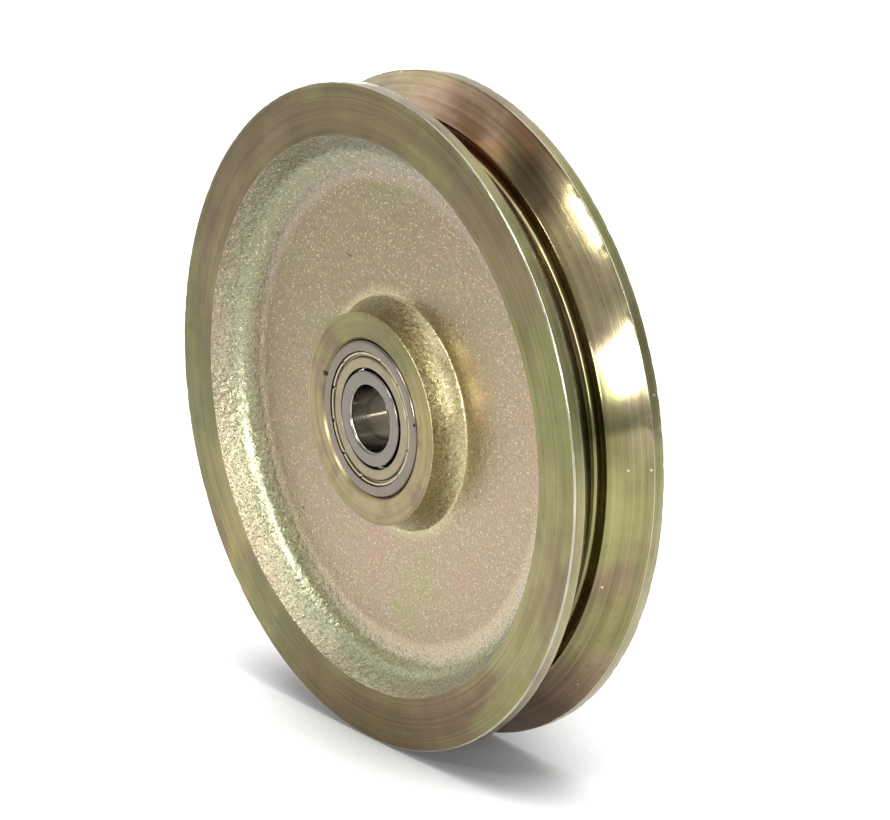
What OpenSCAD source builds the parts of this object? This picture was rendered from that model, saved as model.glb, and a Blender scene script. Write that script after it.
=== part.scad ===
// Gate wheel: a grooved steel wheel that rolls on a V rail, turning on two shielded ball bearings.
// The origin is the wheel's centre. The axle runs along Y, the front face looks towards -Y, and +Z is up.

/* [Wheel] */
// Diameter over the flanges
wheel_d = 200; // [180:1:240]
// Width over the two rim faces, which is also the width of the hub
wheel_w = 32; // [32:0.5:40]
// Break on the outer corners of the flanges
rim_break = 0.5; // [0.2:0.1:1]

/* [Rail groove] */
// Width of the groove at its mouth
groove_w = 24.8; // [20:0.1:26]
// Angle between the two flanks
groove_angle = 90; // [70:1:100]
// Width of the relief slot at the bottom of the groove
relief_w = 5.2; // [4.5:0.1:6]
// Depth of the relief slot below the foot of the flanks
relief_depth = 4; // [2:0.1:4.5]
// Radius in the corners of the relief slot
relief_corner_r = 1.4; // [0.5:0.1:1.8]
// Radius where a flank rolls over into the relief slot
relief_edge_r = 1.2; // [0.4:0.1:2]

/* [Web] */
// Diameter where the machined rim face meets the cast recess
face_inner_d = 168; // [150:1:170]
// Depth of the recess on each side, so the web is what is left between the two
recess_depth = 10; // [8:0.5:11]
// Slope of the recess wall, measured from the axle's direction
recess_draft = 30; // [15:1:35]
// Fillet between the recess wall and the web
recess_fillet = 8; // [4:0.5:9]

/* [Hub] */
// Diameter of the machined hub face
hub_d = 64; // [60:1:80]
// Slope of the hub's side where it leaves the hub face
hub_draft = 3; // [0:1:10]
// Radius of the hub's side, which flares out hollow towards the web
hub_flare_r = 20; // [18:1:40]
// Bore of the shoulder that stands between the two bearings
shoulder_d = 41.4; // [40.8:0.1:43]
// Chamfer at the mouth of each bearing seat
seat_chamfer = 1; // [0.3:0.1:1.2]

/* [Bearings] */
// Bore of the inner rings, which is the axle's diameter
bearing_bore = 20; // [20:0.5:20.5]
// Outer diameter of the outer rings
bearing_d = 47; // [46.5:0.5:47]
// Width of a bearing
bearing_w = 14; // [13.5:0.5:14]
// Chamfer on the rings' bore and outer corners
ring_chamfer = 0.9; // [0.5:0.1:1.1]
// Small chamfer on the corners that face the balls
land_chamfer = 0.3; // [0.2:0.1:0.4]
// Inside diameter of the outer ring between its shield grooves
outer_ring_id = 40.6; // [40:0.1:41]
// Outside diameter of the inner ring
inner_ring_od = 28.8; // [28:0.1:29.5]
// Ball diameter
ball_d = 7.938; // [7.5:0.001:8]
// Diameter of the circle through the balls' centres
pitch_d = 33.5; // [33.4:0.1:33.6]
// Clearance between a ball and the bottom of each raceway
race_gap = 0.04; // [0.03:0.01:0.06]
// Raceway radius as a share of the ball's diameter
race_ratio = 0.52; // [0.515:0.005:0.53]

/* [Cages] */
// Thickness of the pressed cage sheet
cage_t = 0.8; // [0.6:0.1:1]
// Radial width of the cage
cage_w = 2.7; // [2.2:0.1:3]
// Clearance around each ball in its pocket
pocket_gap = 0.15; // [0.1:0.05:0.25]
// Shank diameter of the cage rivets
rivet_d = 1.4; // [1:0.1:1.6]
// Head diameter of the cage rivets
rivet_head_d = 2.3; // [1.9:0.1:2.4]

/* [Shields] */
// Inside diameter of the shields
shield_id = 30.5; // [30:0.1:31]
// Thickness of the shield sheet
shield_t = 0.4; // [0.3:0.05:0.5]
// How far the shields lie below the rings' faces
shield_sink = 0.4; // [0.3:0.1:0.8]
// Slits in the crimped edge of each shield
slit_n = 12; // [8:1:16]
// Width of a slit
slit_w = 0.5; // [0.3:0.1:0.8]

/* [Hidden] */

$fn = 144;
arc_steps = 8;      // straight pieces in each rounded stretch of the wheel's outline
FRONT = 1;          // sides of the wheel, along the outline's second axis
REAR = -1;

wheel_r = wheel_d / 2;
half_w = wheel_w / 2;
web_y = half_w - recess_depth;                            // the web's faces stand at +-web_y
flank_run = (groove_w - relief_w) / 2;                    // width of one flank, along the axle
foot_r = wheel_r - flank_run / tan(groove_angle / 2);     // radius where a flank meets the slot
relief_r = foot_r - relief_depth;
seat_y = half_w - bearing_w;                              // the bearings' inner faces stand at +-seat_y
bearing_y = half_w - bearing_w / 2;                       // mid-plane of each bearing
bearing_half = bearing_w / 2;

ball_n = 8;         // balls in each bearing
pitch_r = pitch_d / 2;
race_r = race_ratio * ball_d;
race_depth = ball_d / 2 + race_gap;                       // from the pitch circle to a raceway's bottom
ball_step = 360 / ball_n;
cage_in = pitch_r - cage_w / 2;
cage_out = pitch_r + cage_w / 2;
pocket_r = ball_d / 2 + pocket_gap;
rivet_fit = 0.02;                                         // radial clearance of a rivet in its holes
rivet_head_t = 0.5;

shield_y = bearing_half - shield_sink;                    // a shield's outer surface, from mid-plane
crimp_out = outer_ring_id / 2 + 0.5;                      // outer edge of the crimped lip
crimp_in = outer_ring_id / 2 - 1;                         // inner edge of the crimped lip
crimp_t = 1.8 * shield_t;                                 // the lip is the sheet folded on itself
crimp_step = 0.15;                                        // the lip lies this far below the flat
shield_slot_gap = 0.1;                                    // side play of the lip in the ring's groove
spacer_gap = 0.1;                                         // the spacer's bore clears the axle by this
spacer_wall = 3.3;

// Points on an arc about c, from angle a0 to angle a1.
function arc(c, r, a0, a1) =
    [for (i = [0:arc_steps])
        let (a = a0 + (a1 - a0) * i / arc_steps)
            c + r * [cos(a), sin(a)]];

// An outline given for one side of the mid-plane, closed through its mirror image.
function both_sides(points) =
    concat(points, [for (i = [len(points) - 1:-1:0]) [points[i][0], -points[i][1]]]);

// Relief slot, flank, flange and rim face, from the groove's bottom outwards.
function rim_outline() =
    let (edge_cut = relief_edge_r * tan(groove_angle / 4),
         edge_c = [foot_r - edge_cut, relief_w / 2 + relief_edge_r])
    concat(arc([relief_r + relief_corner_r, relief_w / 2 - relief_corner_r], relief_corner_r, 180, 90),
           arc(edge_c, relief_edge_r, -90, groove_angle / 2 - 90),
           [[wheel_r, groove_w / 2],
            [wheel_r, half_w - rim_break],
            [wheel_r - rim_break, half_w],
            [face_inner_d / 2, half_w]]);

// Recess wall, web and hub side, from the rim inwards.
function recess_outline() =
    let (wall_foot = face_inner_d / 2 - recess_depth * tan(recess_draft),
         wall_c = [wall_foot - recess_fillet * tan(45 - recess_draft / 2), web_y + recess_fillet],
         flare_c = [hub_d / 2 + hub_flare_r * cos(hub_draft), half_w + hub_flare_r * sin(hub_draft)],
         foot_angle = asin((flare_c[1] - web_y) / hub_flare_r))
    concat(arc(wall_c, recess_fillet, -recess_draft, -90),
           arc(flare_c, hub_flare_r, 180 + foot_angle, 180 + hub_draft));

// Hub face, bearing seat and half of the shoulder between the bearings.
function seat_outline() =
    [[bearing_d / 2 + seat_chamfer, half_w],
     [bearing_d / 2, half_w - seat_chamfer],
     [bearing_d / 2, seat_y],
     [shoulder_d / 2 + seat_chamfer, seat_y],
     [shoulder_d / 2, seat_y - seat_chamfer]];

// Turns an outline about the axle. Its first axis is the radius and its second points to the front.
module about_axle() {
    rotate([90, 0, 0])
        rotate_extrude()
            children();
}

// Puts a bearing's piece, drawn about its own mid-plane with its outer side up, into its seat.
module seated(side) {
    rotate([side == FRONT ? 90 : -90, 0, 0])
        translate([0, 0, bearing_y])
            children();
}

// A rectangle between two radii and two heights.
module band(r0, r1, y0, y1) {
    translate([r0, y0])
        square([r1 - r0, y1 - y0]);
}

// A ring's section about the mid-plane, with its inner and outer corners chamfered.
module ring_section(r0, r1, inner_chamfer, outer_chamfer) {
    polygon(both_sides([[r0, bearing_half - inner_chamfer],
                        [r0 + inner_chamfer, bearing_half],
                        [r1 - outer_chamfer, bearing_half],
                        [r1, bearing_half - outer_chamfer]]));
}

module wheel_body() {
    color([0.62, 0.58, 0.40])
        about_axle()
            polygon(both_sides(concat(rim_outline(), recess_outline(), seat_outline())));
}

module inner_ring_spacer() {
    color([0.60, 0.60, 0.60])
        about_axle()
            band(bearing_bore / 2 + spacer_gap, bearing_bore / 2 + spacer_gap + spacer_wall,
                 -seat_y, seat_y);
}

module outer_ring(side) {
    color([0.70, 0.70, 0.70])
        seated(side)
            rotate_extrude()
                difference() {
                    ring_section(outer_ring_id / 2, bearing_d / 2, land_chamfer, ring_chamfer);
                    translate([pitch_r + race_depth - race_r, 0])
                        circle(race_r);
                    for (s = [-1, 1])
                        shield_slot(s);
                }
}

// The groove in the outer ring that holds a shield's crimped lip.
module shield_slot(s) {
    top = shield_y - crimp_step + shield_slot_gap;
    bottom = shield_y - crimp_step - crimp_t - shield_slot_gap;
    band(outer_ring_id / 2 - 1, crimp_out + shield_slot_gap,
         min(s * top, s * bottom), max(s * top, s * bottom));
}

module inner_ring(side) {
    color([0.70, 0.70, 0.70])
        seated(side)
            rotate_extrude()
                difference() {
                    ring_section(bearing_bore / 2, inner_ring_od / 2, ring_chamfer, land_chamfer);
                    translate([pitch_r - race_depth + race_r, 0])
                        circle(race_r);
                }
}

// A pressed shield: a flat ring with a turned-in inner edge and a folded, slit outer lip.
module shield(side, face) {
    flat_in = shield_y - shield_t;
    lip_top = shield_y - crimp_step;
    lip_in = lip_top - crimp_t;
    color([0.60, 0.58, 0.50])
        seated(side)
            mirror([0, 0, face > 0 ? 0 : 1])
                difference() {
                    rotate_extrude()
                        polygon([[shield_id / 2, flat_in - shield_t],
                                 [shield_id / 2 + shield_t, flat_in - shield_t],
                                 [shield_id / 2 + shield_t, flat_in],
                                 [crimp_in - 3 * shield_t, flat_in],
                                 [crimp_in - shield_t, lip_in],
                                 [crimp_out, lip_in],
                                 [crimp_out, lip_top],
                                 [crimp_in + shield_t / 2, lip_top],
                                 [crimp_in, lip_in + shield_t],
                                 [crimp_in - shield_t, lip_in + shield_t],
                                 [crimp_in - 2 * shield_t, shield_y],
                                 [shield_id / 2, shield_y]]);
                    for (i = [0:slit_n - 1])
                        rotate([0, 0, (i + 0.5) * 360 / slit_n])
                            translate([crimp_in - shield_t / 2, -slit_w / 2, lip_in + shield_t])
                                cube([crimp_out - crimp_in - shield_t / 2, slit_w, 2 * shield_t]);
                }
}

// One half of a riveted ribbon cage: flats between the balls and an arched pocket over each ball.
module cage_half(side, face) {
    color([0.66, 0.62, 0.50])
        seated(side)
            mirror([0, 0, face > 0 ? 0 : 1])
                difference() {
                    intersection() {
                        ring_solid(cage_in, cage_out, pocket_r + 2 * cage_t);
                        union() {
                            cylinder(h = cage_t, r = cage_out + 1);
                            at_balls()
                                pocket_tube(pocket_r + cage_t, cage_w + 2);
                        }
                    }
                    at_balls()
                        pocket_tube(pocket_r, cage_w + 4);
                    at_rivets()
                        cylinder(h = 4 * cage_t, d = rivet_d + 2 * rivet_fit, center = true);
                }
}

// A round bar lying along the bearing's radius, with a ball's centre in its middle.
module pocket_tube(r, length) {
    rotate([0, 90, 0])
        cylinder(h = length, r = r, center = true);
}

module ring_solid(r0, r1, h) {
    rotate_extrude()
        band(r0, r1, 0, h);
}

module cage_rivets(side) {
    color([0.66, 0.62, 0.50])
        seated(side)
            at_rivets() {
                cylinder(h = 2 * cage_t, d = rivet_d, center = true);
                for (s = [-1, 1])
                    translate([0, 0, s * (cage_t + rivet_head_t / 2)])
                        cylinder(h = rivet_head_t, d = rivet_head_d, center = true);
            }
}

module at_balls() {
    for (i = [0:ball_n - 1])
        rotate([0, 0, i * ball_step])
            translate([pitch_r, 0, 0])
                children();
}

module at_rivets() {
    rotate([0, 0, ball_step / 2])
        at_balls()
            children();
}

module ball(side, number) {
    color([0.75, 0.75, 0.76])
        seated(side)
            rotate([0, 0, (number - 1) * ball_step])
                translate([pitch_r, 0, 0])
                    sphere(d = ball_d);
}

wheel_body();
inner_ring_spacer();
outer_ring(FRONT);  // front_outer_ring
inner_ring(FRONT);  // front_inner_ring
shield(FRONT, 1);  // front_outer_shield
shield(FRONT, -1);  // front_inner_shield
cage_half(FRONT, 1);  // front_cage_outer_half
cage_half(FRONT, -1);  // front_cage_inner_half
cage_rivets(FRONT);  // front_cage_rivets
ball(FRONT, 1);  // front_ball_1
ball(FRONT, 2);  // front_ball_2
ball(FRONT, 3);  // front_ball_3
ball(FRONT, 4);  // front_ball_4
ball(FRONT, 5);  // front_ball_5
ball(FRONT, 6);  // front_ball_6
ball(FRONT, 7);  // front_ball_7
ball(FRONT, 8);  // front_ball_8
outer_ring(REAR);  // rear_outer_ring
inner_ring(REAR);  // rear_inner_ring
shield(REAR, 1);  // rear_outer_shield
shield(REAR, -1);  // rear_inner_shield
cage_half(REAR, 1);  // rear_cage_outer_half
cage_half(REAR, -1);  // rear_cage_inner_half
cage_rivets(REAR);  // rear_cage_rivets
ball(REAR, 1);  // rear_ball_1
ball(REAR, 2);  // rear_ball_2
ball(REAR, 3);  // rear_ball_3
ball(REAR, 4);  // rear_ball_4
ball(REAR, 5);  // rear_ball_5
ball(REAR, 6);  // rear_ball_6
ball(REAR, 7);  // rear_ball_7
ball(REAR, 8);  // rear_ball_8
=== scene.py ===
"""Looks for the gate wheel: detailed meshes, plated and ground metal, studio, camera."""
import math
import random

import bmesh
import bpy
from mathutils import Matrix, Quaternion, Vector, noise

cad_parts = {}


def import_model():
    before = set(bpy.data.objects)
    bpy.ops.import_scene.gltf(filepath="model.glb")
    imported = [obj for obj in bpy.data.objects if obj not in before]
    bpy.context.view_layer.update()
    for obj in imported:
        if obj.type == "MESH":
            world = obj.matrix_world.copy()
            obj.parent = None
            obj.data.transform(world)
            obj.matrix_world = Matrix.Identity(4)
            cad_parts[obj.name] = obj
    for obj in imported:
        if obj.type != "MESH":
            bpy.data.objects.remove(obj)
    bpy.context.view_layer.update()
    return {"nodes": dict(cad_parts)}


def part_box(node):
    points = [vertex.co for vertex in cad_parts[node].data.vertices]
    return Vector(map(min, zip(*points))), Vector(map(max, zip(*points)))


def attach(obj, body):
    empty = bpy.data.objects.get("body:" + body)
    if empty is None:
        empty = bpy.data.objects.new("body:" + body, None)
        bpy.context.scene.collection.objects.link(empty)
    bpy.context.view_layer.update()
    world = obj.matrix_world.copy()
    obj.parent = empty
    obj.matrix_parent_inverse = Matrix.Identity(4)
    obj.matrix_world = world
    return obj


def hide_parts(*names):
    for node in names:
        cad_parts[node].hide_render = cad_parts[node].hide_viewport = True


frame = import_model()

MM = 0.001
TAU = 2 * math.pi
random.seed(20)

# ---------------------------------------------------------------- sizes, from the frame where it has them
WHEEL_LOW, WHEEL_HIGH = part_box("wheel_body")
RIM_R = WHEEL_HIGH.x
HALF_W = WHEEL_HIGH.y
RING_LOW, RING_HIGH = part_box("front_outer_ring")
SEAT_R = RING_HIGH.x
RING_HALF = (RING_HIGH.y - RING_LOW.y) / 2
RING_MID = HALF_W - RING_HALF
INNER_RING_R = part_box("front_inner_ring")[1].x
SHIELD_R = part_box("front_outer_shield")[1].x

GROOVE_HALF = 12.4 * MM         # half the groove's width at its mouth
RELIEF_HALF = 2.6 * MM          # half the width of the slot at the groove's bottom
FLANK_FOOT_R = RIM_R - (GROOVE_HALF - RELIEF_HALF)
RELIEF_R = FLANK_FOOT_R - 4 * MM
RECESS_R = 84 * MM
RECESS_DEPTH = 10 * MM
RECESS_SLOPE = math.tan(math.radians(30))
HUB_R = 32 * MM
HUB_DRAFT = math.radians(3)     # slope of the hub's side where it leaves the hub face
HUB_FLARE_R = 20 * MM           # radius of the hub's hollow side
SHOULDER_R = 20.7 * MM          # the ledge between the two bearing seats
SEAT_DEPTH = 14 * MM
SEAT_CHAMFER = 1.0 * MM
AXLE_R = 10 * MM
RACE_R = 20.3 * MM              # inside of the outer ring
SHIELD_HOLE_R = 15.25 * MM

WHEEL_SEGMENTS = 640
RING_SEGMENTS = 240
SHIELD_SEGMENTS = 480


# ---------------------------------------------------------------- outlines and turned meshes
def rounded(corners, arc_step=math.radians(12)):
    """Outline through (r, y, radius, zone) corners, with an arc of that radius at each inner corner.

    A corner may name a fifth value, its arc's own zone. Returns points (r, y, zone): a point's zone is the
    stretch that starts there."""
    out = []
    last = len(corners) - 1
    for i, (r, y, radius, zone, *own) in enumerate(corners):
        here = Vector((r, y))
        if i in (0, last) or radius == 0:
            out.append((r, y, zone))
            continue
        to_prev = (Vector(corners[i - 1][:2]) - here).normalized()
        to_next = (Vector(corners[i + 1][:2]) - here).normalized()
        half = to_prev.angle(to_next) / 2
        cut = radius / math.tan(half)
        centre = here + (to_prev + to_next).normalized() * (radius / math.sin(half))
        start = here + to_prev * cut - centre
        end = here + to_next * cut - centre
        sweep = start.angle_signed(end)
        steps = max(2, round(abs(sweep) / arc_step))
        base = math.atan2(start.y, start.x)
        for k in range(steps + 1):
            angle = base - sweep * k / steps
            # without a zone of its own, the arc's first half belongs to the stretch before the corner
            arc_zone = corners[i - 1][3] if k < steps / 2 else zone
            if own and k < steps:
                arc_zone = own[0]
            out.append((centre.x + radius * math.cos(angle), centre.y + radius * math.sin(angle), arc_zone))
    return out


def refined(points, spacing):
    """Adds points so that no stretch is longer than its zone's spacing, closing in next to the corners."""
    out = []
    for (r0, y0, zone), (r1, y1, _) in zip(points, points[1:]):
        length = math.hypot(r1 - r0, y1 - y0)
        step = spacing.get(zone, spacing["default"])
        shares = [0.0]
        if length > 4 * step:
            shares.append(0.25 * step / length)
        count = max(1, math.ceil(length / step))
        shares += [k / count for k in range(1, count)]
        if length > 4 * step:
            shares.append(1 - 0.25 * step / length)
        out += [(r0 + (r1 - r0) * s, y0 + (y1 - y0) * s, zone) for s in shares]
    out.append(points[-1])
    return out


def mirrored(points):
    """The outline on the far side of the mid-plane, carried on backwards from the near side's end."""
    zones = [p[2] for p in points]
    back = []
    for k in range(len(points) - 1, -1, -1):
        r, y, _ = points[k]
        back.append((r, -y, zones[k - 1] if k else zones[0]))
    return back


def turned(name, points, segments, zones, side=1, warp=None):
    """A smooth mesh made by turning a closed outline about Y. y > 0 in it is the side's outer face.

    zones is the list of zone names in material order; warp(r, angle, y, zone) returns a moved (r, y)."""
    mesh = bpy.data.meshes.new(name)
    bm = bmesh.new()
    rings = []
    for r, y, zone in points:
        ring = []
        for k in range(segments):
            a = TAU * k / segments
            rr, yy = warp(r, a, y, zone) if warp else (r, y)
            ring.append(bm.verts.new((rr * math.cos(a), -side * yy, rr * math.sin(a))))
        rings.append(ring)
    for i, (_, _, zone) in enumerate(points):
        j = (i + 1) % len(points)
        index = zones.index(zone)
        for k in range(segments):
            n = (k + 1) % segments
            loop = (rings[i][k], rings[i][n], rings[j][n], rings[j][k])
            face = bm.faces.new(loop if side > 0 else loop[::-1])
            face.smooth = True
            face.material_index = index
    bmesh.ops.recalc_face_normals(bm, faces=bm.faces[:])
    bm.to_mesh(mesh)
    bm.free()
    obj = bpy.data.objects.new(name, mesh)
    bpy.context.scene.collection.objects.link(obj)
    return obj


# ---------------------------------------------------------------- material helpers
SPOT_CORE = 0.55                # share of a mark's radius that has its full colour


class Graph:
    """Short names for the shader nodes that the materials here use."""

    def __init__(self, name):
        self.material = bpy.data.materials.new(name)
        self.material.use_nodes = True
        self.tree = self.material.node_tree
        self.tree.nodes.clear()
        self.out = self.tree.nodes.new("ShaderNodeOutputMaterial")
        self.shader = self.tree.nodes.new("ShaderNodeBsdfPrincipled")
        self.tree.links.new(self.shader.outputs[0], self.out.inputs[0])

    def node(self, kind, inputs=(), **settings):
        made = self.tree.nodes.new(kind)
        for key, value in settings.items():
            setattr(made, key, value)
        for key, value in dict(inputs).items():
            self.feed(made.inputs[key], value)
        return made

    def feed(self, socket, value):
        if isinstance(value, bpy.types.NodeSocket):
            self.tree.links.new(value, socket)
        else:
            socket.default_value = value

    def math(self, operation, a, b=0.0, c=0.0):
        return self.node("ShaderNodeMath", {0: a, 1: b, 2: c}, operation=operation).outputs[0]

    def combine(self, x, y, z):
        return self.node("ShaderNodeCombineXYZ", {0: x, 1: y, 2: z}).outputs[0]

    def noise(self, vector, scale, detail=2.0, roughness=0.5, distortion=0.0):
        inputs = {"Vector": vector, "Scale": scale, "Detail": detail, "Roughness": roughness,
                  "Distortion": distortion}
        return self.node("ShaderNodeTexNoise", inputs).outputs["Fac"]

    def pebbles(self, vector, scale, smoothness):
        inputs = {"Vector": vector, "Scale": scale, "Smoothness": smoothness}
        return self.node("ShaderNodeTexVoronoi", inputs, feature="SMOOTH_F1").outputs["Distance"]

    def flecks(self, vector, scale, channel, chance, size):
        """1 in the middle of a few random cells, else 0. chance and size are (low, high) of a soft step."""
        cells = self.node("ShaderNodeTexVoronoi", {"Vector": vector, "Scale": scale})
        draw = self.node("ShaderNodeSeparateXYZ", {0: cells.outputs["Color"]}).outputs[channel]
        return self.times(self.remap(draw, *chance), self.remap(cells.outputs["Distance"], *size))

    def ramp(self, fac, stops, interpolation="EASE"):
        made = self.node("ShaderNodeValToRGB", {"Fac": fac})
        band = made.color_ramp
        band.interpolation = interpolation
        while len(band.elements) < len(stops):
            band.elements.new(0.5)
        for element, (place, colour) in zip(band.elements, stops):
            element.position = place
            element.color = (*colour, 1)
        return made.outputs["Color"]

    def remap(self, value, low, high, to_low=0.0, to_high=1.0):
        return self.node("ShaderNodeMapRange", {"Value": value, "From Min": low, "From Max": high,
                                                "To Min": to_low, "To Max": to_high},
                         interpolation_type="SMOOTHSTEP").outputs[0]

    def mix(self, fac, a, b, blend="MIX"):
        made = self.node("ShaderNodeMix", data_type="RGBA", blend_type=blend)
        for index, value in ((0, fac), (6, a), (7, b)):
            if isinstance(value, tuple):
                value = (*value, 1)
            self.feed(made.inputs[index], value)
        return made.outputs[2]

    def bump(self, height, distance):
        inputs = {"Height": height, "Distance": distance, "Strength": 1.0}
        return self.node("ShaderNodeBump", inputs).outputs[0]

    def metal(self, colour, roughness, normal=None, anisotropy=0.0, coat=0.0):
        """Metal with its grain running round the axle where anisotropy isn't 0, and a thin clear coat."""
        self.feed(self.shader.inputs["Base Color"], colour)
        self.feed(self.shader.inputs["Roughness"], roughness)
        self.shader.inputs["Metallic"].default_value = 1.0
        self.shader.inputs["Coat Weight"].default_value = coat
        self.shader.inputs["Coat Roughness"].default_value = 0.22
        self.shader.inputs["Coat IOR"].default_value = 1.7
        self.shader.inputs["Anisotropic"].default_value = anisotropy
        self.shader.inputs["Anisotropic Rotation"].default_value = 0.25
        if anisotropy:
            tangent = self.node("ShaderNodeTangent", direction_type="RADIAL", axis="Y")
            self.feed(self.shader.inputs["Tangent"], tangent.outputs[0])
        if normal is not None:
            self.feed(self.shader.inputs["Normal"], normal)
        return self.material

    def add(self, *values):
        total = values[0]
        for value in values[1:]:
            total = self.math("ADD", total, value)
        return total

    def times(self, a, b):
        return self.math("MULTIPLY", a, b)

    def centred(self, value, gain):
        """A 0-1 noise turned into a swing of +-gain/2 about zero."""
        return self.times(self.math("SUBTRACT", value, 0.5), gain)

    def spots(self, point, places):
        """1 inside small round marks, else 0. Each is (mm from the axle, degrees, radius in mm)."""
        mask = None
        x, _, z = self.node("ShaderNodeSeparateXYZ", {0: point}).outputs
        for from_axle, degrees, size in places:
            a = math.radians(degrees)
            dx = self.math("SUBTRACT", x, from_axle * MM * math.cos(a))
            dz = self.math("SUBTRACT", z, from_axle * MM * math.sin(a))
            gap = self.math("SQRT", self.add(self.times(dx, dx), self.times(dz, dz)))
            one = self.remap(gap, size * MM, SPOT_CORE * size * MM)
            mask = one if mask is None else self.math("MAXIMUM", mask, one)
        return mask

    def wheel_coordinates(self):
        """The point, its distance from the axle, its direction (cos, sin) about it and its place along it."""
        point = self.node("ShaderNodeTexCoord").outputs["Object"]
        x, y, z = self.node("ShaderNodeSeparateXYZ", {0: point}).outputs
        radius = self.math("SQRT", self.add(self.times(x, x), self.times(z, z)))
        return point, radius, self.math("DIVIDE", x, radius), self.math("DIVIDE", z, radius), y


# colours of the yellow zinc plating, from green through gold to pink and mauve
OLIVE = (0.200, 0.183, 0.088)
GREEN = (0.228, 0.222, 0.096)
GOLD = (0.335, 0.285, 0.145)
BROWN = (0.195, 0.150, 0.080)
UMBER = (0.160, 0.118, 0.068)
MOSS = (0.150, 0.143, 0.066)
MAUVE = (0.205, 0.140, 0.100)
BEIGE = (0.310, 0.258, 0.158)
PALE = (0.305, 0.275, 0.158)
ROSE = (0.360, 0.260, 0.180)
RUST = (0.260, 0.150, 0.075)
PAINTED_SPARKLE = (0.62, 0.58, 0.42)
SPECK = (0.07, 0.06, 0.03)
STAIN = (0.02, 0.016, 0.012)

# colours of the plated casting
WEB_GOLD_SHADED = (0.190, 0.142, 0.062)
WEB_BEIGE = (0.288, 0.222, 0.130)
HUB_GOLD = (0.42, 0.36, 0.18)
GRIME = (0.13, 0.105, 0.062)
GLINT = (0.72, 0.60, 0.34)
PIT = (0.05, 0.035, 0.02)
SCRATCH = (0.10, 0.05, 0.03)

GRINDING_PITCH = 0.00018        # between the grinding lines on the rings


def plating_turned(name, tones_and_light_round, line_pitch, roughness, line_depth, along_axle=False,
                   marks=(), tint=(1.0, 1.0, 1.0)):
    """Plating over lathe-turned steel. The colour drifts round the wheel, drawn out along the tool lines;
    besides the plating's hues, the colours round the wheel carry painted highlights and painted shade.

    tones_and_light_round lists (share of a turn from the -X side, colour), counter-clockwise seen from the
    front.
    The tool lines follow each other along the axle if along_axle, else outward. marks lists (spots, colour),
    and tint multiplies every colour."""
    g = Graph(name)
    point, radius, cos, sin, y = g.wheel_coordinates()
    across = y if along_axle else radius
    patches = g.noise(g.combine(cos, sin, g.times(across, 30.0)), 2.2, 4.0, 0.55)
    streaks = g.noise(g.combine(cos, sin, g.times(across, 520.0)), 1.3, 3.0, 0.6)
    turn = g.add(g.math("DIVIDE", g.math("ARCTAN2", sin, cos), TAU), 0.5)
    place = g.add(turn, g.centred(patches, 0.2), g.centred(streaks, 0.025))
    colour = g.ramp(g.math("WRAP", place, 1.0, 0.0), tones_and_light_round)
    greener = g.noise(g.combine(cos, sin, g.times(across, 30.0)), 2.9, 3.0, 0.5)
    colour = g.mix(g.remap(greener, 0.50, 0.66, 0.0, 0.6), colour, GREEN)
    redder = g.noise(g.combine(sin, cos, g.times(across, 28.0)), 2.5, 3.0, 0.5)
    colour = g.mix(g.remap(redder, 0.52, 0.68, 0.0, 0.65), colour, MAUVE)
    tool_path = g.combine(g.times(cos, 0.4), g.times(sin, 0.4), g.times(across, 1.0 / line_pitch))
    lines = g.noise(tool_path, 1.0, 2.0, 0.6)
    cloud = g.noise(point, 60.0, 4.0, 0.6)
    shade = g.add(1.0, g.centred(streaks, 0.8), g.centred(lines, 0.9), g.centred(cloud, 0.9))
    colour = g.mix(1.0, colour, g.combine(*(g.times(shade, part) for part in tint)), "MULTIPLY")
    specks = g.remap(g.noise(point, 700.0, 2.0), 0.69, 0.74, 0.0, 0.55)
    colour = g.mix(specks, colour, SPECK)
    # painted sparkle: a few pale specks stand in for tiny bright highlights on the turned plating
    painted_sparkles = g.flecks(point, 420.0, 1, chance=(0.95, 0.97), size=(0.22, 0.12))
    colour = g.mix(g.times(painted_sparkles, 0.7), colour, PAINTED_SPARKLE)
    for places, stain in marks:
        colour = g.mix(g.spots(point, places), colour, stain)
    strength = g.remap(g.noise(g.combine(cos, sin, 0.0), 1.4), 0.35, 0.65, 0.35, 1.0)
    normal = g.bump(g.add(g.times(lines, strength), g.times(specks, -0.8)), line_depth)
    dull = g.remap(g.noise(point, 45.0, 4.0, 0.6), 0.3, 0.7, roughness * 0.8, roughness * 1.25)
    return g.metal(colour, dull, normal, anisotropy=0.5, coat=0.15)


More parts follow.
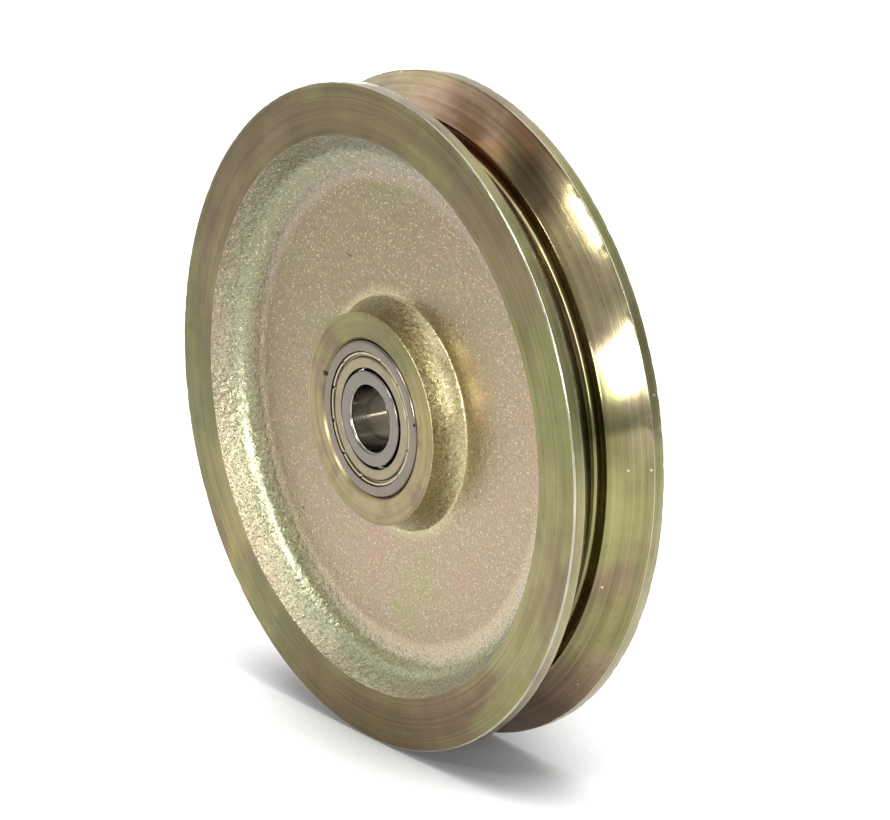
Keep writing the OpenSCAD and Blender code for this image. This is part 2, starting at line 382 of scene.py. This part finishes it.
def plating_cast(name):
    """Plating over the blasted casting: sandy grain, soft pebbling and bands of colour by the recess wall."""
    g = Graph(name)
    point, radius, cos, sin, _ = g.wheel_coordinates()
    x, _, z = g.node("ShaderNodeSeparateXYZ", {0: point}).outputs

    # the web: golden and darker towards the upper left, beige and lighter towards the lower right, the
    # darkening towards the upper left being painted shade; with blotches of green and pink
    up_left = g.add(g.times(z, 0.8), g.times(x, -0.6))
    tone = g.mix(g.remap(up_left, 55 * MM, -40 * MM), WEB_GOLD_SHADED, WEB_BEIGE)
    blotch = g.noise(point, 20.0, 3.0, 0.55, 0.3)
    hue = g.ramp(blotch, [(0.34, (0.92, 1.10, 0.74)), (0.46, (1.0, 1.01, 0.94)), (0.55, (1.02, 0.99, 1.0)),
                          (0.66, (1.10, 0.93, 1.02))])
    web = g.mix(1.0, tone, hue, "MULTIPLY")

    # the plating runs through its colours where the recess wall turns into the web; lower down it is painted
    # lighter, as painted light
    wall_place = g.add(g.remap(radius, 69.0 * MM, 86.5 * MM), g.centred(g.noise(point, 60.0, 3.0), 0.22))
    bands = g.ramp(wall_place, [(0.05, (0.31, 0.245, 0.160)), (0.20, (0.29, 0.250, 0.165)),
                                (0.42, (0.225, 0.215, 0.108)), (0.72, (0.240, 0.258, 0.158)),
                                (0.88, (0.290, 0.275, 0.172)), (1.0, (0.28, 0.230, 0.155))])
    painted_light_below = g.remap(z, 60 * MM, -70 * MM, 0.80, 1.40)
    bands = g.mix(1.0, bands, g.combine(painted_light_below, painted_light_below, painted_light_below), "MULTIPLY")
    colour = g.mix(g.remap(radius, 68.0 * MM, 71.5 * MM), web, bands)

    # hub foot and side: warmer and yellower
    colour = g.mix(g.remap(radius, 39.5 * MM, 34.5 * MM), colour, HUB_GOLD)

    # dark sand and pale glints all over, then the few marks that the photograph shows
    sand = g.noise(point, 1500.0, 3.0, 0.65)
    grime = g.remap(radius, 71.5 * MM, 75.5 * MM, 0.55, 0.85)
    colour = g.mix(g.times(g.remap(sand, 0.42, 0.66), grime), colour, GRIME)
    # painted glints: pale specks stand in for the sparkle of sand grains facing the lamps
    glints = g.flecks(point, 1500.0, 0, chance=(0.72, 0.90), size=(0.50, 0.20))
    colour = g.mix(g.times(glints, 0.6), colour, GLINT)
    dash = [(49 + 0.6 * k, 118.5 + k, 0.6) for k in range(3)]
    pits = [(65, 220.3, 0.7), (74.5, 146, 0.6)]
    colour = g.mix(g.spots(point, dash + pits), colour, PIT)
    scratch = [(70.0 + 0.16 * k, 221.6 + 0.9 * k, 0.5) for k in range(8)]
    colour = g.mix(g.times(g.spots(point, scratch), 0.45), colour, SCRATCH)

    # relief: fine all over, coarser on the recess wall and a little at the hub's foot
    wall_zone = g.remap(radius, 69 * MM, 74 * MM)
    foot_zone = g.times(g.remap(radius, 42 * MM, 36 * MM), 0.1)
    coarse = g.noise(point, 480.0, 3.0, 0.55)
    creases = g.noise(g.combine(g.times(cos, 26.0), g.times(sin, 26.0), g.times(radius, 60.0)), 1.0, 3.0, 0.6)
    lumps = g.add(g.times(coarse, 1.2), g.times(creases, 0.8))
    height = g.add(g.times(g.pebbles(point, 620.0, 0.7), 0.5), g.times(g.noise(point, 1700.0, 2.0, 0.6), 0.5),
                   g.times(coarse, 0.5), g.times(g.math("MAXIMUM", wall_zone, foot_zone), lumps))
    normal = g.bump(height, 0.00024)
    dull = g.remap(g.noise(point, 900.0, 2.0), 0.35, 0.65, 0.22, 0.36)
    return g.metal(colour, dull, normal, coat=0.5)


def ground_steel(name, colour, roughness=0.24, marks=()):
    """Hardened ring steel, ground round the axle, with dark stake marks where marks lists spots."""
    g = Graph(name)
    point, radius, cos, sin, y = g.wheel_coordinates()
    lines = g.noise(g.combine(cos, sin, g.times(g.add(radius, y), 1.0 / GRINDING_PITCH)), 1.0, 2.0)
    smear = g.noise(point, 160.0, 3.0)
    tone = g.ramp(smear, [(0.3, tuple(0.88 * c for c in colour)), (0.7, colour)])
    if marks:
        tone = g.mix(g.spots(point, marks), tone, STAIN)
    dull = g.remap(smear, 0.3, 0.7, roughness * 0.85, roughness * 1.2)
    return g.metal(tone, dull, g.bump(lines, 0.000004), anisotropy=0.4)


def pressed_steel(name, colour, roughness):
    """Sheet metal with a faint stain and a satin face."""
    g = Graph(name)
    point = g.node("ShaderNodeTexCoord").outputs["Object"]
    stain = g.noise(point, 220.0, 4.0, 0.6)
    tone = g.ramp(stain, [(0.3, tuple(0.85 * c for c in colour)), (0.7, colour)])
    dull = g.remap(g.noise(point, 700.0, 3.0), 0.3, 0.7, roughness * 0.85, roughness * 1.2)
    return g.metal(tone, dull, g.bump(stain, 0.00001))


def painted_shade_steel(name):
    """Bare steel painted dark as painted shade, inside the seats and on the outer rings' short walls next to
    the shields.
    """
    g = Graph(name)
    point = g.node("ShaderNodeTexCoord").outputs["Object"]
    tone = g.ramp(g.noise(point, 300.0, 3.0), [(0.3, (0.12, 0.11, 0.08)), (0.7, (0.22, 0.20, 0.14))])
    return g.metal(tone, 0.4)


# the colour lists round the wheel hold the plating's hues and painted light as well: on the face, GOLD low on
# the left is a painted highlight, PALE low on the right is painted light and UMBER high on the left is
# painted shade; OLIVE near the right of the land is a painted dark reflection; the hub and groove lists carry
# painted highlights and shade in the same way
FACE_TONES_AND_LIGHT = [(0.00, MOSS), (0.055, OLIVE), (0.11, GOLD), (0.15, OLIVE), (0.21, BROWN), (0.33, MAUVE),
              (0.39, PALE), (0.46, PALE), (0.54, GREEN), (0.64, OLIVE), (0.73, BROWN), (0.85, UMBER),
              (0.95, UMBER), (1.00, MOSS)]
HUB_TONES_AND_LIGHT = [(0.0, BEIGE), (0.14, PALE), (0.28, BEIGE), (0.40, BEIGE), (0.52, GOLD), (0.62, GREEN),
             (0.74, OLIVE), (0.86, GREEN), (1.0, BEIGE)]
GROOVE_TONES_AND_LIGHT = [(0.0, BEIGE), (0.25, ROSE), (0.38, ROSE), (0.43, GREEN), (0.47, GREEN), (0.52, GREEN),
                (0.57, PALE), (0.63, GOLD), (0.665, BROWN), (0.695, RUST), (0.73, ROSE), (0.78, GOLD),
                (1.0, BEIGE)]
LAND_TONES_AND_LIGHT = [(0.0, BEIGE), (0.25, BEIGE), (0.38, BEIGE), (0.44, PALE), (0.485, OLIVE), (0.54, OLIVE),
              (0.62, GREEN), (0.70, BEIGE), (1.0, BEIGE)]

M_FACE = plating_turned("plating_turned_face", FACE_TONES_AND_LIGHT, 0.00042, 0.36, 0.000030, tint=(0.67, 0.66, 0.50))
M_HUB = plating_turned("plating_turned_hub", HUB_TONES_AND_LIGHT, 0.00040, 0.40, 0.000016, tint=(0.77, 0.72, 0.60),
                       marks=[([(24.5, 159, 1.2)], STAIN)])
M_GROOVE = plating_turned("plating_turned_groove", GROOVE_TONES_AND_LIGHT, 0.00050, 0.135, 0.000010, along_axle=True,
                          tint=(0.86, 0.82, 0.78))
M_LAND = plating_turned("plating_turned_land", LAND_TONES_AND_LIGHT, 0.00060, 0.30, 0.000008, along_axle=True)
# the rounded flange edges get a pale, bright plating: a painted highlight along the edges
M_EDGE_HIGHLIGHT = plating_turned("plating_edge_highlight", [(0.0, PALE), (1.0, PALE)], 0.00060, 0.20, 0.000030,
                        along_axle=True, tint=(1.30, 1.36, 1.9))
M_CAST = plating_cast("plating_cast")
M_SEAT_SHADE = painted_shade_steel("painted_shade_steel")
# the ring steels are far darker than bare ground steel: painted shade standing in for the dim room they
# mirror
M_RING = ground_steel("ground_outer_ring_steel", (0.182, 0.156, 0.125), marks=[(22.9, 9, 0.6)])
M_INNER = ground_steel("ground_inner_ring_steel", (0.185, 0.167, 0.143))
M_BORE = ground_steel("ground_bore_steel", (0.36, 0.33, 0.28), 0.14)
M_LIP = pressed_steel("shield_lip", (0.42, 0.37, 0.27), 0.26)
M_SHIELD = pressed_steel("shield_sheet", (0.262, 0.222, 0.147), 0.33)
M_SPACER = ground_steel("spacer_steel", (0.42, 0.42, 0.41), 0.3)
M_CAGE = pressed_steel("cage_sheet", (0.42, 0.37, 0.26), 0.35)
M_BALL = ground_steel("ball_steel", (0.70, 0.70, 0.71), 0.06)

# ---------------------------------------------------------------- the wheel body
WHEEL_ZONES = ["groove", "land", "face", "cast", "hub", "seat", "edge"]
WHEEL_MATERIALS = [M_GROOVE, M_LAND, M_FACE, M_CAST, M_HUB, M_SEAT_SHADE, M_EDGE_HIGHLIGHT]

WEB_Y = HALF_W - RECESS_DEPTH
FOOT_FILLET = 0.8 * MM
HUB_SIDE_STEPS = 10


def hub_side():
    """Corners down the hub's hollow side, from a tight fillet at the web up to the hub face."""
    centre_r = HUB_R + HUB_FLARE_R * math.cos(HUB_DRAFT)
    centre_y = HALF_W + HUB_FLARE_R * math.sin(HUB_DRAFT)
    foot = math.asin((centre_y - WEB_Y) / HUB_FLARE_R)
    out = []
    for k in range(HUB_SIDE_STEPS):
        a = foot + (HUB_DRAFT - foot) * k / HUB_SIDE_STEPS
        r = centre_r - HUB_FLARE_R * math.cos(a)
        y = centre_y - HUB_FLARE_R * math.sin(a)
        out.append((r, y, 0 if k else FOOT_FILLET, "cast"))
    return out


# (radius, place along the axle, corner radius, zone), from the groove's bottom round to the bore
wheel_corners = [
    (RELIEF_R, 0, 0, "groove"),
    (RELIEF_R, RELIEF_HALF, 1.4 * MM, "groove"),
    (FLANK_FOOT_R, RELIEF_HALF, 1.0 * MM, "groove"),
    (RIM_R, GROOVE_HALF, 0.25 * MM, "land", "edge"),
    (RIM_R, HALF_W, 0.5 * MM, "face", "edge"),
    (RECESS_R, HALF_W, 0.25 * MM, "cast"),
    (RECESS_R - RECESS_DEPTH * RECESS_SLOPE, WEB_Y, 8 * MM, "cast"),
    *hub_side(),
    (HUB_R, HALF_W, 0.25 * MM, "hub"),
    (SEAT_R + SEAT_CHAMFER, HALF_W, 0.15 * MM, "hub"),
    (SEAT_R, HALF_W - SEAT_CHAMFER, 0.1 * MM, "seat"),
    (SEAT_R, HALF_W - SEAT_DEPTH, 0, "seat"),
    (SHOULDER_R, HALF_W - SEAT_DEPTH, 0.5 * MM, "seat"),
    (SHOULDER_R, 0, 0, "seat"),
]
SPACING = {"default": 1.5 * MM, "cast": 0.75 * MM, "face": 1.2 * MM, "hub": 1.0 * MM, "seat": 3 * MM}
half = refined(rounded(wheel_corners), SPACING)
whole = half + mirrored(half)[1:-1]

FLANK_HOLLOW = 0.20 * MM        # each flank is turned very slightly hollow
CAST_SHIFT = 0.85 * MM          # the casting's recess sits this far off the turned faces' centre
CORNER_ZONE = 0.6 * MM          # how far the flange corners' knocks reach
KNOCKS = 70                     # for each flange corner


def fade(value, low, high):
    """0 below low, 1 above high, smooth between."""
    t = min(1.0, max(0.0, (value - low) / (high - low)))
    return t * t * (3 - 2 * t)


NICKS = {}                      # (side, corner, segment): depth of the knocks along the flange corners
for side in (1, -1):
    for corner in ("rim", "groove"):
        for _ in range(KNOCKS):
            where = random.randrange(WHEEL_SEGMENTS)
            depth = random.uniform(0.02, 0.13) * MM
            for shift, share in ((-1, 0.4), (0, 1.0), (1, random.uniform(0.2, 0.9))):
                key = (side, corner, (where + shift) % WHEEL_SEGMENTS)
                NICKS[key] = max(NICKS.get(key, 0), depth * share)


def wheel_warp(r, a, y, zone):
    """Casting's off-centre recess, its uneven skin, hollow flanks and the battered flange corners."""
    side = 1 if y > 0 else -1
    cos, sin = math.cos(a), math.sin(a)
    segment = round(a / TAU * WHEEL_SEGMENTS) % WHEEL_SEGMENTS
    if r > RIM_R - CORNER_ZONE and abs(y) > HALF_W - CORNER_ZONE:
        depth = NICKS.get((side, "rim", segment), 0)
        return r - depth, y - side * 0.6 * depth
    if r > RIM_R - 0.5 * MM and abs(abs(y) - GROOVE_HALF) < 0.4 * MM:
        return r - NICKS.get((side, "groove", segment), 0), y
    if RELIEF_HALF < abs(y) < GROOVE_HALF and r > FLANK_FOOT_R:
        t = (abs(y) - RELIEF_HALF) / (GROOVE_HALF - RELIEF_HALF)
        hollow = FLANK_HOLLOW * 4 * t * (1 - t)
        return r - hollow, y + side * hollow
    if abs(y) > 4 * MM and 36 * MM < r < 92 * MM:
        share = fade(r, 60 * MM, 80 * MM) * (1 - fade(r, RECESS_R, 92 * MM))
        edge = noise.noise(Vector((cos * 5, sin * 5, side * 3))) * 0.35 * MM
        edge += noise.noise(Vector((cos * 26, sin * 26, side * 5))) * 0.12 * MM
        r += share * (-CAST_SHIFT * cos + edge)
    if zone == "cast" and WEB_Y - 0.1 * MM < abs(y) < HALF_W - 0.3 * MM:
        p = Vector((r * cos, y, r * sin))
        wave = noise.noise(p * 90) * 0.10 + noise.noise(p * 260) * 0.05 + noise.noise(p * 620) * 0.045
        deep = fade(HALF_W - abs(y), 0.3 * MM, 1.5 * MM)
        y += side * wave * MM * deep
        if RECESS_R - 12 * MM < r or r < HUB_R + 4 * MM:
            r += noise.noise(p * 520 + Vector((7, 3, 1))) * 0.03 * MM * deep
    return r, y


wheel = turned("wheel_casting", whole, WHEEL_SEGMENTS, WHEEL_ZONES, warp=wheel_warp)
for material in WHEEL_MATERIALS:
    wheel.data.materials.append(material)
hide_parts("wheel_body")
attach(wheel, "wheel")


# ---------------------------------------------------------------- the bearings
def outer_ring(side_name, side):
    """Ground outer ring with its raceway and the two grooves that hold the shields."""
    top = RING_HALF - 0.45 * MM         # the shield groove runs from top down to bottom
    bottom = RING_HALF - 1.40 * MM
    groove_r = SHIELD_R + 0.1 * MM
    corners = [
        (RACE_R, 0, 0, "race"),
        (RACE_R, bottom, 0, "race"),
        (groove_r, bottom, 0, "race"),
        (groove_r, top, 0, "ring"),
        (RACE_R, top, 0, "wall"),
        (RACE_R, RING_HALF, 0.12 * MM, "ring"),
        (SEAT_R, RING_HALF, 0.8 * MM, "ring"),
        (SEAT_R, 0, 0, "ring"),
    ]
    half_ring = refined(rounded(corners), {"default": 1.5 * MM})
    points = [(r, y + RING_MID, zone) for r, y, zone in half_ring + mirrored(half_ring)[1:-1]]
    zones = ["ring", "race", "wall"]
    obj = turned(f"{side_name}_bearing_outer_ring", points, RING_SEGMENTS, zones, side=side)
    obj.data.materials.append(M_RING)
    obj.data.materials.append(M_BORE)
    # the short wall down to the shield groove is painted dark: painted shade in the gap between ring and
    # shield
    obj.data.materials.append(M_SEAT_SHADE)
    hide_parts(f"{side_name}_outer_ring")
    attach(obj, "wheel")


def inner_ring(side_name, side):
    """Ground inner ring: bore with a rounded mouth, and a small break towards the shield."""
    corners = [
        (INNER_RING_R, 0, 0, "ring"),
        (INNER_RING_R, RING_HALF, 0.45 * MM, "ring"),
        (AXLE_R, RING_HALF, 1.0 * MM, "bore"),
        (AXLE_R, 0, 0, "bore"),
    ]
    half_ring = refined(rounded(corners, math.radians(8)), {"default": 1.0 * MM})
    points = [(r, y + RING_MID, zone) for r, y, zone in half_ring + mirrored(half_ring)[1:-1]]
    obj = turned(f"{side_name}_bearing_inner_ring", points, RING_SEGMENTS, ["ring", "bore"], side=side)
    obj.data.materials.append(M_INNER)
    obj.data.materials.append(M_BORE)
    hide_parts(f"{side_name}_inner_ring")
    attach(obj, "axle_side")


SLITS = 12
SLIT_HALF = 0.34 * MM
SLIT_DEPTH = 0.45 * MM


def shield(side_name, side):
    """Pressed shield: flat ring, rolled shoulder, groove and a crimped lip cut by slits."""
    sheet = 0.4 * MM                    # the sheet's thickness
    flat = RING_HALF - 0.4 * MM         # heights of the flat ring, the lip's top and the groove's bottom
    lip = RING_HALF - 0.38 * MM
    low = RING_HALF - 1.25 * MM
    corners = [
        (SHIELD_HOLE_R, flat - 2 * sheet, 0, "sheet"),
        (SHIELD_HOLE_R, flat, 0.3 * MM, "sheet"),
        (18.25 * MM, flat, 0.35 * MM, "sheet"),
        (18.75 * MM, low + 0.05 * MM, 0.15 * MM, "sheet"),
        (19.15 * MM, low + 0.05 * MM, 0.12 * MM, "sheet"),
        (19.30 * MM, lip, 0.22 * MM, "lip"),
        (19.95 * MM, lip, 0.15 * MM, "lip"),
        (20.10 * MM, lip - 0.35 * MM, 0, "lip"),
        (SHIELD_R, lip - 0.35 * MM, 0, "lip"),
        (SHIELD_R, low - 0.1 * MM, 0, "sheet"),
        (18.6 * MM, low - 0.1 * MM, 0, "sheet"),
        (18.1 * MM, flat - sheet, 0, "sheet"),
        (SHIELD_HOLE_R + sheet, flat - sheet, 0, "sheet"),
        (SHIELD_HOLE_R + sheet, flat - 2 * sheet, 0, "sheet"),
    ]
    points = [(r, y + RING_MID, zone) for r, y, zone in refined(rounded(corners), {"default": 0.5 * MM})]

    def slit(r, a, y, zone):
        """Sinks the lip where a slit crosses it."""
        turn = (a / TAU * SLITS) % 1.0
        near = abs(turn - 0.5) * TAU / SLITS * r
        on_lip = 19.2 * MM < r < SHIELD_R - 0.05 * MM and y > RING_MID + low + 0.1 * MM
        return r, y - SLIT_DEPTH if on_lip and near < SLIT_HALF else y

    zones = ["sheet", "lip"]
    obj = turned(f"{side_name}_bearing_shield", points, SHIELD_SEGMENTS, zones, side=side, warp=slit)
    obj.data.materials.append(M_SHIELD)
    obj.data.materials.append(M_LIP)
    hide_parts(f"{side_name}_outer_shield")
    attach(obj, "wheel")


for side_name, side in (("front", 1), ("rear", -1)):
    outer_ring(side_name, side)
    inner_ring(side_name, side)
    shield(side_name, side)

# what is behind the shields keeps its CAD shape
for name, node_obj in frame["nodes"].items():
    if "ball" in name:
        finish = M_BALL
    elif "cage" in name:
        finish = M_CAGE
    elif "shield" in name:
        finish = M_SHIELD
    elif "spacer" in name:
        finish = M_SPACER
    else:
        continue
    node_obj.data.materials.clear()
    node_obj.data.materials.append(finish)

# ---------------------------------------------------------------- studio
FLOOR_Z = -RIM_R
FLOOR_SIZE = 14
PALE_FLOOR = (0.88, 0.88, 0.88)
SHADED_FLOOR = (0.42, 0.42, 0.42)


def floor():
    """Pale floor with painted shade falling off in front of the wheel, and a painted contact shadow right
    under it.
    """
    bpy.ops.mesh.primitive_plane_add(size=FLOOR_SIZE, location=(0, 0, FLOOR_Z))
    obj = bpy.context.object
    obj.name = "floor"
    g = Graph("floor_white")
    point = g.node("ShaderNodeTexCoord").outputs["Object"]
    x, y, _ = g.node("ShaderNodeSeparateXYZ", {0: point}).outputs
    ahead = g.add(g.times(x, 0.5), g.times(y, -0.866))
    tone = g.ramp(g.remap(ahead, 0.14, 0.85), [(0.0, PALE_FLOOR), (1.0, SHADED_FLOOR)], "LINEAR")
    under = g.node("ShaderNodeAmbientOcclusion", {"Distance": 0.085}, samples=8)
    contact_shadow = g.remap(under.outputs["AO"], 0.35, 0.95, 0.22, 1.0)
    tone = g.mix(1.0, tone, g.combine(contact_shadow, contact_shadow, contact_shadow), "MULTIPLY")
    g.feed(g.shader.inputs["Base Color"], tone)
    g.shader.inputs["Emission Color"].default_value = (1, 1, 1, 1)
    g.shader.inputs["Emission Strength"].default_value = 0.07
    g.shader.inputs["Roughness"].default_value = 0.9
    g.shader.inputs["Specular IOR Level"].default_value = 0.1
    obj.data.materials.append(g.material)


def softbox(name, azimuth, elevation, distance, width, height, radiance, roll=0):
    """A soft area light that faces the wheel."""
    a, e = math.radians(azimuth), math.radians(elevation)
    back = Vector((math.sin(a) * math.cos(e), -math.cos(a) * math.cos(e), math.sin(e)))
    data = bpy.data.lights.new(name, "AREA")
    data.shape = "RECTANGLE"
    data.size, data.size_y = width, height
    data.energy = radiance * width * height * math.pi
    lamp = bpy.data.objects.new(name, data)
    lamp.location = back * distance
    lamp.rotation_mode = "QUATERNION"
    spin = Quaternion((0, 0, 1), math.radians(roll))
    lamp.rotation_quaternion = (-back).to_track_quat("-Z", "Y") @ spin
    bpy.context.scene.collection.objects.link(lamp)


ROOM_LIGHT = 0.70
# pale and dark areas of the room: (azimuth, elevation, angle of the core, angle of the edge, change)
ROOM = [
    (0, 90, 10, 40, 0.5),
    (-135, 40, 15, 45, 0.45),
    (125, 5, 10, 35, -0.10),
    (-7, 60, 9, 18, -0.50),
    (-80, 25, 5, 30, 0.80),
    (34, 66, 4, 17, 0.90),
    (-50, 37, 3, 12, 0.50),
    (-11, 42, 2, 9, 0.60),
]


def world():
    """A plain room, even but for ROOM's soft areas."""
    made = bpy.data.worlds.new("studio")
    bpy.context.scene.world = made
    made.use_nodes = True
    tree = made.node_tree
    background = tree.nodes["Background"]
    coords = tree.nodes.new("ShaderNodeTexCoord")
    total = ROOM_LIGHT
    for azimuth, elevation, core, edge, change in ROOM:
        a, e = math.radians(azimuth), math.radians(elevation)
        dot = tree.nodes.new("ShaderNodeVectorMath")
        dot.operation = "DOT_PRODUCT"
        tree.links.new(coords.outputs["Generated"], dot.inputs[0])
        dot.inputs[1].default_value = (math.sin(a) * math.cos(e), -math.cos(a) * math.cos(e), math.sin(e))
        area = tree.nodes.new("ShaderNodeMapRange")
        area.interpolation_type = "SMOOTHSTEP"
        area.inputs["From Min"].default_value = math.cos(math.radians(edge))
        area.inputs["From Max"].default_value = math.cos(math.radians(core))
        area.inputs["To Max"].default_value = change
        tree.links.new(dot.outputs["Value"], area.inputs["Value"])
        plus = tree.nodes.new("ShaderNodeMath")
        if isinstance(total, float):
            plus.inputs[0].default_value = total
        else:
            tree.links.new(total, plus.inputs[0])
        tree.links.new(area.outputs[0], plus.inputs[1])
        total = plus.outputs[0]
    tree.links.new(total, background.inputs["Strength"])
    background.inputs["Color"].default_value = (1, 1, 1, 1)


CAMERA_AWAY = 15.0934           # in rim radii
CAMERA_ASIDE = 0.0935


def camera():
    """The camera at the photograph's viewing angle, a little to the right of the wheel's middle."""
    azimuth, elevation = math.radians(54.18), math.radians(16.63)
    back = Vector((math.sin(azimuth) * math.cos(elevation), -math.cos(azimuth) * math.cos(elevation),
                   math.sin(elevation)))
    right = Vector((math.cos(azimuth), math.sin(azimuth), 0))
    data = bpy.data.cameras.new("camera")
    data.lens = 206.2
    data.sensor_width = 36
    data.clip_start, data.clip_end = 0.05, 50
    obj = bpy.data.objects.new("camera", data)
    obj.location = RIM_R * (CAMERA_AWAY * back + CAMERA_ASIDE * right)
    obj.rotation_mode = "QUATERNION"
    obj.rotation_quaternion = (-back).to_track_quat("-Z", "Y")
    bpy.context.scene.collection.objects.link(obj)
    bpy.context.scene.camera = obj


floor()
world()
softbox("front_box", 32, 12.3, 1.6, 0.55, 0.34, 26)
softbox("high_front_box", 4.8, 36.8, 1.6, 0.38, 0.30, 30, roll=-40)
softbox("top_box", 0, 88, 1.6, 1.6, 1.6, 0.9)
softbox("rear_strip", -124, 2.5, 1.6, 0.8, 0.11, 28)
softbox("side_box", 81, 38, 1.7, 0.26, 1.9, 12.5)
camera()
bpy.context.scene.view_settings.view_transform = "Standard"
